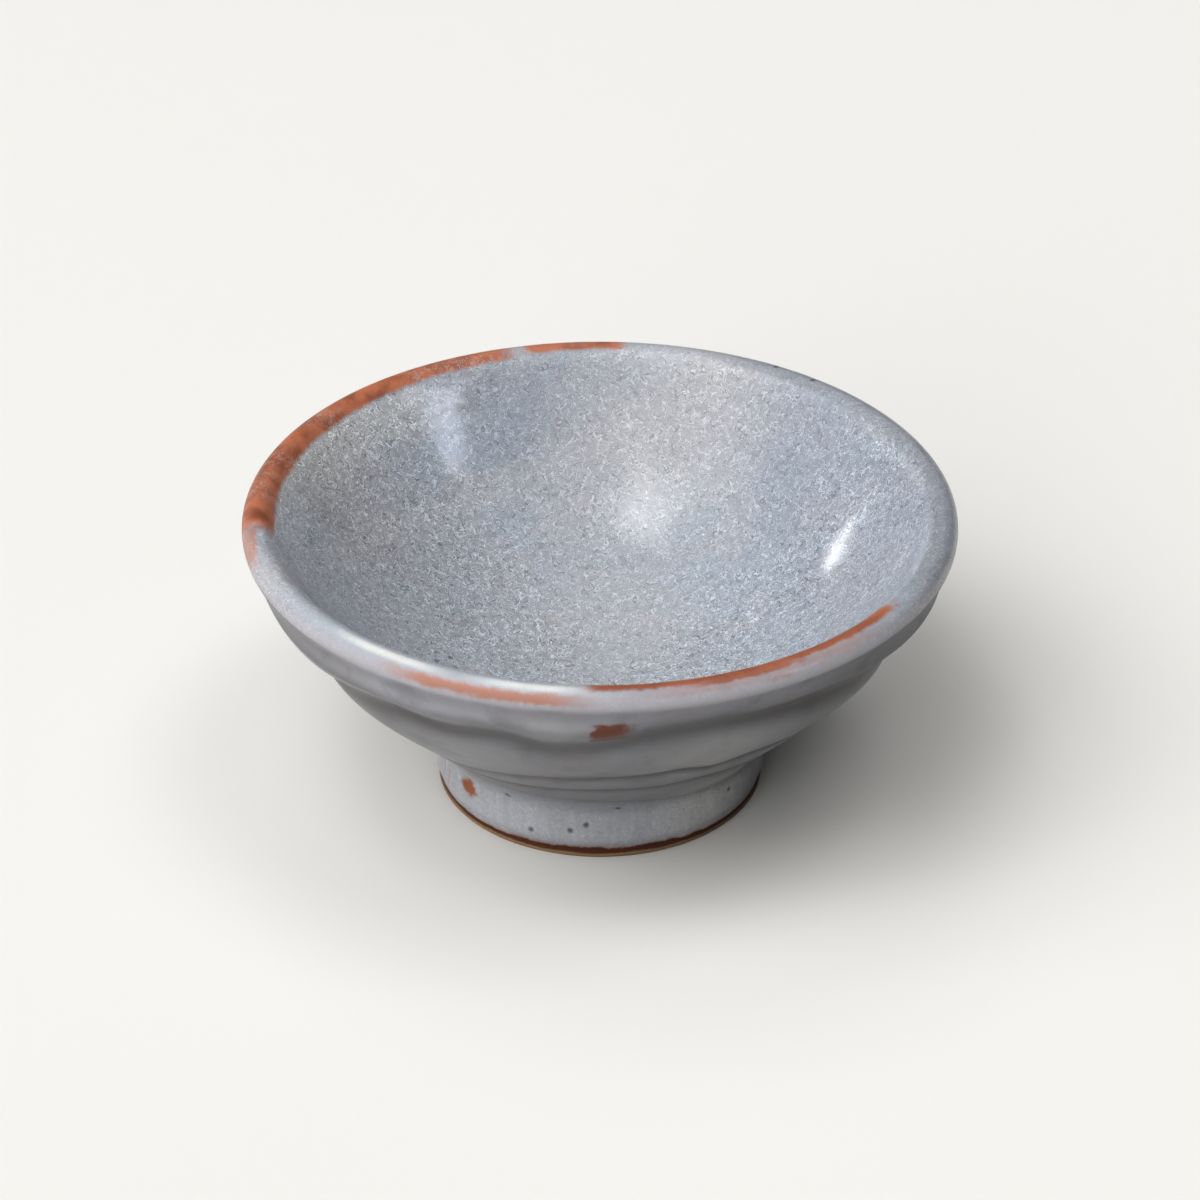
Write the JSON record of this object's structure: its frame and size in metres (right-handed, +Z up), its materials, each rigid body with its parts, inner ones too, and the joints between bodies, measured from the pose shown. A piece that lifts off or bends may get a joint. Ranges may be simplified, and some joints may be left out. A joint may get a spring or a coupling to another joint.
{
  "type": "sake cup",
  "caption": "Shallow round sake cup: flaring thrown bowl with soft finger ridges on a collared foot ring, blue-grey glaze inside and out, rust-coloured lip.",
  "frame": {"origin": "centre of the foot's contact ring, on the surface that the cup stands on", "axes": "+Z up along the cup's turning axis; -Y is the side towards the viewer of the picture; +X is its right"},
  "size_m": [0.085, 0.085, 0.0375],
  "materials": {
    "clay": "fired iron-bearing stoneware, rust where the glaze runs thin",
    "foot_clay": "bare fired stoneware, matt, toasted brown at its edge",
    "slip": "fired joining slip, matt",
    "inner_glaze": "satin blue-grey glaze with fine pale crystal flecks",
    "outer_glaze": "glossy to satin grey glaze, thin and rust-coloured in spots"
  },
  "bodies": {
    "root": {"bowl_body": "clay", "foot_ring": "foot_clay", "joint_slip": "slip", "inner_glaze": "inner_glaze", "outer_glaze": "outer_glaze"}
  },
  "joints": []
}
